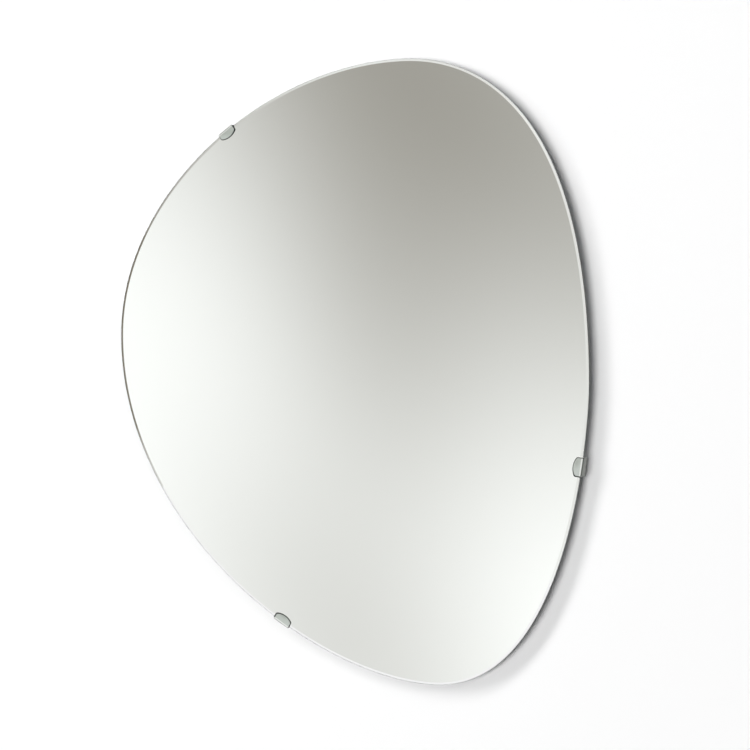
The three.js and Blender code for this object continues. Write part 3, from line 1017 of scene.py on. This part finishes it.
def recess_mesh(fasteners):
    """The tapered cross that is pressed into a screw's head."""
    span, arm = fasteners.recess / 2, fasteners.recess_arm / 2
    cross = []
    for i in range(4):
        turn = Matrix.Rotation(math.pi / 2 * i, 2)
        cross += [turn @ Vector(point) for point in ((span, arm), (arm, arm), (arm, span))]
    above = fasteners.head_height + 0.2 * MILLIMETRE
    levels = [(1.0, above), (0.8, fasteners.head_height * 0.75), (0.3, above - fasteners.recess_depth)]
    rings = [[(p.x * grow, level, p.y * grow) for p in cross] for grow, level in levels]
    return ring_mesh("recess", rings)


def rail_section(fasteners, carrier, upright, x):
    """The hooked section at x: flange on its carrier, web, and a tongue that stands off."""
    thick = fasteners.rail_thickness
    back = thick + 2 * fasteners.rail_play
    front = back + thick
    web_bottom = fasteners.rail_flange / 2
    web_top = web_bottom + thick
    tip = web_top + fasteners.rail_tongue
    corner = fasteners.rail_corner
    edge = corner / 2
    corners = (
        ((0, -web_bottom), edge, 1),
        ((thick, -web_bottom), edge, 1),
        ((thick, web_bottom), fasteners.rail_fillet, 5),
        ((front, web_bottom), edge, 4),
        ((front, tip), corner, 5),
        ((back, tip), corner, 5),
        ((back, web_top), edge, 5),
        ((0, web_top), edge, 4),
    )
    away = 1 if carrier == 0 else -1
    lift = 0 if carrier == 0 else board_rail_high.z - fasteners.rail_flange / 2
    work = bmesh.new()
    outline = [wall_point(x, upright * up + lift, carrier + away * out) for out, up in softened(corners)]
    work.faces.new([work.verts.new(point) for point in outline])
    work.normal_update()
    if work.faces[:][0].normal.x > 0:
        bmesh.ops.reverse_faces(work, faces=work.faces)
    return as_mesh("section", work)


def bumper_mesh(name, fasteners, low, high):
    """A low rubber cone with a counterbored hole for its screw."""
    hole = fasteners.shank / 2 + fasteners.clearance
    bore = fasteners.head / 2 + fasteners.bumper_head_room
    step = fasteners.head_height + fasteners.bumper_head_room + fasteners.seat
    base = fasteners.bumper_diameter / 2
    nose = base - fasteners.bumper_taper
    tall = high.y - low.y
    lip, soft, foot = 0.25 * MILLIMETRE, 0.9 * MILLIMETRE, 0.3 * MILLIMETRE
    profile = [(bore, lip), (bore + lip, 0)]
    for i in range(7):
        turn = math.pi / 2 * i / 6
        profile.append((nose - soft + soft * math.sin(turn), soft - soft * math.cos(turn)))
    profile += [(base - foot * 2 / 3, tall - 2 * foot), (base, tall - foot), (base - foot, tall)]
    profile += [(hole, tall), (hole, step), (bore, step)]
    place = Vector(((low.x + high.x) / 2, high.y, (low.z + high.z) / 2))
    return turned_mesh(name, profile, 64, toward_wall(place), closes=True)


# ---- Operators ----
class PieceOperator(Operator):
    """What the piece operators share."""

    bl_options = {"REGISTER", "UNDO"}


class MIRROR_OT_glass(PieceOperator):
    """Build the glass pane, the silver behind it and the film on its back"""

    bl_idname = "pebble.glass"
    bl_label = "Glass, silver and film"

    def execute(self, context):
        scene = context.scene
        glass = scene.pebble_glass
        front = -glass_low.y
        pane_back = 1.5 * glass.coating - glass_high.y
        bevel, fall, arris = glass.bevel, glass.bevel_depth, glass.arris
        levels = [(bevel, front), (0, front - fall), (0, pane_back + arris), (arris, pane_back)]
        pane = edge_plate("glass_pane", glass, levels, glass.steps, 10)
        dress(pane, "mirror", "silvered_glass", clear_glass(glass), "mirror_glass")
        skin, silver_front = glass.coating / 2, front - glass.silver_depth
        levels = [(bevel, silver_front), (skin, silver_front - fall)]
        levels += [(inset, depth - skin) for inset, depth in levels[::-1]]
        silver = edge_plate("silver_coat", glass, levels, glass.steps, 10)
        dress(silver, "mirror", "silvered_glass", silver_coating(), "mirror_glass")
        inset, round_off = glass.film_inset, 0.25 * (film_high.y - film_low.y)
        front, back = -film_low.y, -film_high.y
        levels = [(inset, front), (inset, back + round_off), (inset + round_off, back)]
        film = edge_plate("scrim_backed_film", glass, levels, glass.steps)
        dress(film, "mirror", "splinter_film", scrim_film(scene.pebble_board), "safety_film")
        return {"FINISHED"}


class MIRROR_OT_board(PieceOperator):
    """Build the recessed backing board with its pockets and pilot holes"""

    bl_idname = "pebble.board"
    bl_label = "Backing board"

    def execute(self, context):
        scene = context.scene
        board = scene.pebble_board
        fasteners = scene.pebble_fasteners
        plan = ClipPlan(scene)
        front, back = -board_low.y, -board_high.y
        inset, bevel, edge = board.inset, board.bevel, board.edge_round
        levels = [
            (inset + edge, front),
            (inset + 0.3 * edge, front - 0.3 * edge),
            (inset, front - edge),
            (inset, back + bevel + edge),
            (inset + 0.3 * edge, back + bevel - 0.3 * edge),
            (inset + bevel - edge, back + edge),
            (inset + bevel, back),
        ]
        made = edge_plate("painted_board", scene.pebble_glass, levels, board.steps)
        half = scene.pebble_clips.width / 2 + board.pocket_clearance
        end = plan.foot_reach + board.pocket_clearance
        corner = board.pocket_corner
        pocket = arc((corner - end, half - corner), corner, math.pi / 2, math.pi, 10)
        pocket += arc((corner - end, corner - half), corner, math.pi, 1.5 * math.pi, 10)
        pocket += [(0, -half), (0, half)]
        outside = back - MILLIMETRE
        rings = [[(*point, level) for point in pocket] for level in (outside, back + board.pocket_depth)]
        pockets, places = [], []
        for matrix in clip_frames(scene).values():
            pockets.append(ring_mesh("pocket", rings, matrix))
            places += [matrix @ Vector((-plan.screw_in, side, outside)) for side in plan.screw_sides]
        for node in nodes_named(("board_rail_screw", "bumper_screw")):
            middle = middle_of(node)
            places.append(wall_point(middle.x, middle.z, outside))
        radius = fasteners.shank / 2 + fasteners.clearance
        deep = MILLIMETRE + board.pocket_depth + board.screw_bite
        drill = [(0, 0), (radius, 0), (radius, deep), (0, deep)]
        cut(made, joined("pockets", pockets))
        cut(made, joined("holes", [turned_mesh("hole", drill, 24, toward_wall(place)) for place in places]))
        dress(made, "mirror", "black_board", painted_board(board), "backing_board")
        return {"FINISHED"}


class MIRROR_OT_clips(PieceOperator):
    """Build the three bent edge clips and their rubber pads"""

    bl_idname = "pebble.clips"
    bl_label = "Edge clips and pads"

    def execute(self, context):
        scene = context.scene
        clips = scene.pebble_clips
        steel = satin_steel(clips, ClipPlan(scene))
        rubber = soft_rubber(clips)
        for name, matrix in clip_frames(scene).items():
            clip = clip_sheet(f"bent_clip_{name}", scene, matrix)
            dress(clip, f"{name}_clip", "satin_steel", steel, f"clip_{name}")
            pad = pad_sheet(f"rubber_pad_{name}", scene, matrix, getattr(clips, f"{name}_pad"))
            dress(pad, f"{name}_clip", "soft_rubber", rubber, f"clip_pad_{name}")
        return {"FINISHED"}


class MIRROR_OT_fasteners(PieceOperator):
    """Set the screws and washers on their seats"""

    bl_idname = "pebble.fasteners"
    bl_label = "Screws and washers"

    def execute(self, context):
        fasteners = context.scene.pebble_fasteners
        zinc = zinc_plate(fasteners)
        screws = screws_recipe()
        groups = (
            ("clip_screws", "clip_screw_"),
            ("rail_screws", "board_rail_screw_"),
            ("stop_screws", "bumper_screw_"),
        )
        for title, prefix in groups:
            nodes = nodes_named(prefix)
            low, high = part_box(nodes[0])
            source = screw_shape(fasteners, high.y - low.y - fasteners.head_height)
            seats = [middle_of(node) for node in nodes]
            for seat in seats:
                seat.y = high.y - fasteners.head_height
            values = {"Screw": source, "Seed": fasteners.twist_seed, "Finish": zinc}
            made = screws.make(title, plain_mesh(title, seats), values)
            bpy.data.objects.remove(source)
            dress(made, "mirror", "zinc_steel", zinc, *nodes)
        nodes = nodes_named("clip_washer_")
        values = {
            "Inner radius": fasteners.shank / 2 + fasteners.clearance,
            "Outer radius": fasteners.washer / 2,
            "Thickness": fasteners.washer_thickness,
            "Corner": 0.15 * fasteners.washer_thickness,
            "Finish": zinc,
        }
        seats = plain_mesh("clip_washers", [middle_of(node) for node in nodes])
        made = washers_recipe().make("clip_washers", seats, values)
        dress(made, "mirror", "zinc_steel", zinc, *nodes)
        return {"FINISHED"}


class MIRROR_OT_rails(PieceOperator):
    """Draw and drill the two hooked rails"""

    bl_idname = "pebble.rails"
    bl_label = "Hooked rails"

    def execute(self, context):
        fasteners = context.scene.pebble_fasteners
        aluminium = drawn_aluminium(fasteners)
        recipe = rail_recipe()
        edge_round = 0.18 * MILLIMETRE
        # Title, node, body, distance of its carrier from the wall, and which way the hook points.
        rows = (
            ("wall_hook_rail", "wall_rail", "wall", 0.0, 1),
            ("board_hook_rail", "board_rail", "mirror", -board_rail_low.y, -1),
        )
        for title, node, body, carrier, upright in rows:
            low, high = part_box(node)
            values = {
                "Length": high.x - low.x,
                "Holes": fasteners.rail_holes,
                "End distance": fasteners.rail_hole_end,
                "Hole radius": fasteners.rail_hole / 2,
                "Drill length": 4 * -board_high.y,
                "Hole height": 0.0 if upright > 0 else high.z - fasteners.rail_flange / 2,
                "Finish": aluminium,
            }
            made = recipe.make(title, rail_section(fasteners, carrier, upright, low.x), values)
            rounded(made, edge_round, 60)
            dress(made, body, "rail_aluminium", aluminium, node)
        return {"FINISHED"}


class MIRROR_OT_bumpers(PieceOperator):
    """Turn the two rubber bumpers"""

    bl_idname = "pebble.bumpers"
    bl_label = "Wall bumpers"

    def execute(self, context):
        scene = context.scene
        rubber = bpy.data.materials.get("soft_rubber") or soft_rubber(scene.pebble_clips)
        for node in ("bumper_left", "bumper_right"):
            title = f"rubber_{node}"
            made = linked(title, bumper_mesh(title, scene.pebble_fasteners, *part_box(node)))
            dress(made, "mirror", "soft_rubber", rubber, node)
        return {"FINISHED"}


class MIRROR_OT_stage(PieceOperator):
    """Set up the wall, floor, lamps, room and camera"""

    bl_idname = "pebble.stage"
    bl_label = "Stage"

    def execute(self, context):
        scene = context.scene
        stage = scene.pebble_stage
        scene.view_settings.view_transform = "Standard"
        wide, deep, top = 8.0, 7.0, 2.5
        bottom = glass_low.z - stage.floor_drop
        corner = Vector((-wide / 2, 0, bottom))
        wall = flat_sheet("stage_wall", corner, (wide, 0, 0), (0, 0, top - bottom), wall_finish())
        corner.y = -deep / 2
        floor = flat_sheet("stage_floor", corner, (wide, 0, 0), (0, deep, 0), floor_finish())
        room_world(scene, stage)
        middle = (cad_low + cad_high) / 2
        # Each lamp is an ellipse on a plane parallel to the wall. Its place and radii are given
        # for each metre of distance: across, up, radius across, radius up, and its tilt.
        lamps = (
            ("front_lamp", -1, (-0.08, -0.07, 0.26, 0.15, 20), stage.front_share),
            ("side_lamp", -1, (0.69, 0.47, 0.14, 0.19, 0), stage.side_share),
            ("key_lamp", -1, (-0.78, 0.59, 0.26, 0.75, -33), stage.key_share),
            ("back_lamp_left", 1, (-0.8, 0.7, 0.3, 0.22, 0), stage.back_share * 0.6),
            ("back_lamp_right", 1, (1.0, 0.2, 0.3, 0.22, 0), stage.back_share * 0.4),
        )
        for name, side, place, light in lamps:
            add_lamp(name, middle, side, place, stage.lamp_distance, light)
        add_camera(scene, stage)
        return {"FINISHED"}


# ---- Stage ----
def flat_sheet(name, corner, across, along, material):
    """A parallelogram from a corner and its two sides."""
    across, along = Vector(across), Vector(along)
    corners = [corner, corner + across, corner + across + along, corner + along]
    mesh = plain_mesh(name, corners, [(0, 1, 2, 3)])
    mesh.materials.append(material)
    return linked(name, mesh)


def wall_finish():
    """White wall that can be seen from the front only. It lets lamps behind it through, and
    metal sees the room past it."""
    shader = finish("stage_wall_white")
    white = shader.node("ShaderNodeBsdfDiffuse", {"Color": (0.965, 0.965, 0.965, 1)})
    clear = shader.node("ShaderNodeBsdfTransparent")
    behind = shader.number("ShaderNodeNewGeometry", output="Backfacing")
    lamp_path, glossy = shader.light_path("Is Shadow Ray", "Is Glossy Ray")
    return shader.ends_with(shader.blend(behind.at_least(lamp_path).at_least(glossy), white, clear))


def floor_finish():
    """Pale floor that looks evenly bright in the glass and throws hardly any light up the wall."""
    shader = finish("stage_floor_pale")
    matt, glossy, through = shader.light_path("Is Diffuse Ray", "Is Glossy Ray", "Is Transmission Ray")
    pale = shader.mix(shader.noise(3, 3), (0.86, 0.86, 0.85), (0.9, 0.9, 0.89))
    tint = shader.mix(matt, pale, (0.04, 0.04, 0.04))
    lit = shader.node("ShaderNodeBsdfDiffuse", {"Color": tint})
    bright = shader.node("ShaderNodeEmission", {"Strength": 0.95})
    return shader.ends_with(shader.blend(glossy.at_least(through), lit, bright))


def room_world(scene, stage):
    """White to the camera, an even fill to matt surfaces, and a bright room with soft dark
    zones to glass and metal. The zones come round again, so that every side has some."""
    scene.world = bpy.data.worlds.new("studio_room")
    shader = Shader(scene.world)
    x, y, z = shader.axes(shader.node("ShaderNodeTexCoord", output="Generated"))
    degrees = 180 / math.pi
    bearing = x.math("ARCTAN2", x, 0 - y) * degrees
    height = z.math("ARCSINE", z) * degrees
    # Bearing, height, width, tallness, lean and depth of each zone, in degrees and shares, and
    # the turn after which it comes round again. The first three are seen in the face from the
    # camera, the next two in the face from straight in front and from the left, and the last
    # three in the bevel.
    zones = (
        (-18.5, 9.6, 7.8, 9.5, -0.82, 0.817, 60),
        (-20.9, -9.1, 3.7, 5.3, -0.51, 0.417, 60),
        (-19.7, 0.1, 2.85, 4.9, -0.17, 0.279, 60),
        (1.0, 6.0, 4.2, 7.0, -0.8, 0.6, 60),
        (58.0, -1.0, 8.0, 7.0, -0.5, 0.6, 120),
        (-60.0, 8.0, 11.0, 21.0, 0.0, 0.9, 180),
        (-15.0, 37.0, 25.0, 8.5, 0.0, 0.5, 60),
        (21.0, 0.0, 10.5, 24.0, 0.0, 0.42, 180),
    )
    dark = 0
    for centre, middle, width, tall, lean, depth, period in zones:
        up = height - middle
        around = ((bearing - centre - up * lean) * (2 * math.pi / period)).cosine() - 1
        sharp = (period / (2 * math.pi * width)) ** 2
        dark = (around * sharp - (up * (1 / tall)) ** 2 * 0.5).exponent() * depth + dark
    room = shader.mix(dark.at_least(0.2), (1.18, 1.209, 1.181), (0.2177, 0.201, 0.1641))
    rays = ("Is Camera Ray", "Is Glossy Ray", "Is Transmission Ray", "Diffuse Depth")
    camera, glossy, through, matt = shader.light_path(*rays)
    polished = glossy.at_least(through) * (1 - matt).at_least(0)
    white = (1, 1, 1, 1)
    fill, room_seen, backdrop = [
        shader.node("ShaderNodeBackground", {"Color": tint, "Strength": strength})
        for tint, strength in ((white, stage.fill), (room, stage.room_light), (white, 1.0))
    ]
    shader.ends_with(shader.blend(camera, shader.blend(polished, fill, room_seen), backdrop))


def add_lamp(name, target, side, place, distance, light):
    """An area lamp parallel to the wall, whose share of light falls on the wall at the target."""
    across, up, radius_across, radius_up, tilt = place
    data = bpy.data.lights.new(name, "AREA")
    data.shape = "ELLIPSE"
    data.size, data.size_y = 2 * radius_across * distance, 2 * radius_up * distance
    # The light of a parallel lamp falls with the fourth power of the cosine of its slant.
    cosine = 1 / math.sqrt(1 + across**2 + up**2)
    data.energy = light * (math.pi * distance) ** 2 / cosine**4
    lamp = bpy.data.objects.new(name, data)
    lamp.location = target + Vector((across, side, up)) * distance
    lamp.rotation_euler = (math.pi / 2 * -side, -math.radians(tilt), 0)
    lamp.visible_glossy = False
    lamp.visible_transmission = False
    bpy.context.scene.collection.objects.link(lamp)


def add_camera(scene, stage):
    data = bpy.data.cameras.new("camera")
    data.lens = stage.lens
    data.sensor_width = 36
    data.clip_end = 100
    camera = bpy.data.objects.new("camera", data)
    away = Vector((math.sin(stage.camera_azimuth), -math.cos(stage.camera_azimuth), 0))
    aim = Vector((stage.aim_x, glass_low.y, stage.aim_z))
    camera.location = aim + away * stage.camera_distance
    camera.rotation_euler = away.to_track_quat("Z", "Y").to_euler()
    scene.collection.objects.link(camera)
    scene.camera = camera


# ---- Panel and registration ----
OPERATORS = (
    MIRROR_OT_glass,
    MIRROR_OT_board,
    MIRROR_OT_clips,
    MIRROR_OT_fasteners,
    MIRROR_OT_rails,
    MIRROR_OT_bumpers,
    MIRROR_OT_stage,
)


class MIRROR_PT_panel(Panel):
    """Lists the steps and the settings of the mirror"""

    bl_label = "Wall Mirror"
    bl_idname = "MIRROR_PT_panel"
    bl_space_type = "VIEW_3D"
    bl_region_type = "UI"
    bl_category = "Wall Mirror"

    def draw(self, context):
        for operator in OPERATORS:
            self.layout.operator(operator.bl_idname)
        for name in SETTINGS:
            box = self.layout.box()
            settings = getattr(context.scene, name)
            for key in settings.__annotations__:
                box.prop(settings, key)


def register():
    for name, settings in SETTINGS.items():
        bpy.utils.register_class(settings)
        setattr(bpy.types.Scene, name, PointerProperty(type=settings))
    for operator in OPERATORS:
        bpy.utils.register_class(operator)
    bpy.utils.register_class(MIRROR_PT_panel)


def unregister():
    bpy.utils.unregister_class(MIRROR_PT_panel)
    for operator in reversed(OPERATORS):
        bpy.utils.unregister_class(operator)
    for name, settings in reversed(SETTINGS.items()):
        delattr(bpy.types.Scene, name)
        bpy.utils.unregister_class(settings)


def main():
    register()
    bpy.ops.pebble.glass()
    bpy.ops.pebble.board()
    bpy.ops.pebble.clips()
    bpy.ops.pebble.fasteners()
    bpy.ops.pebble.rails()
    bpy.ops.pebble.bumpers()
    bpy.ops.pebble.stage()


if __name__ == "__main__":
    main()
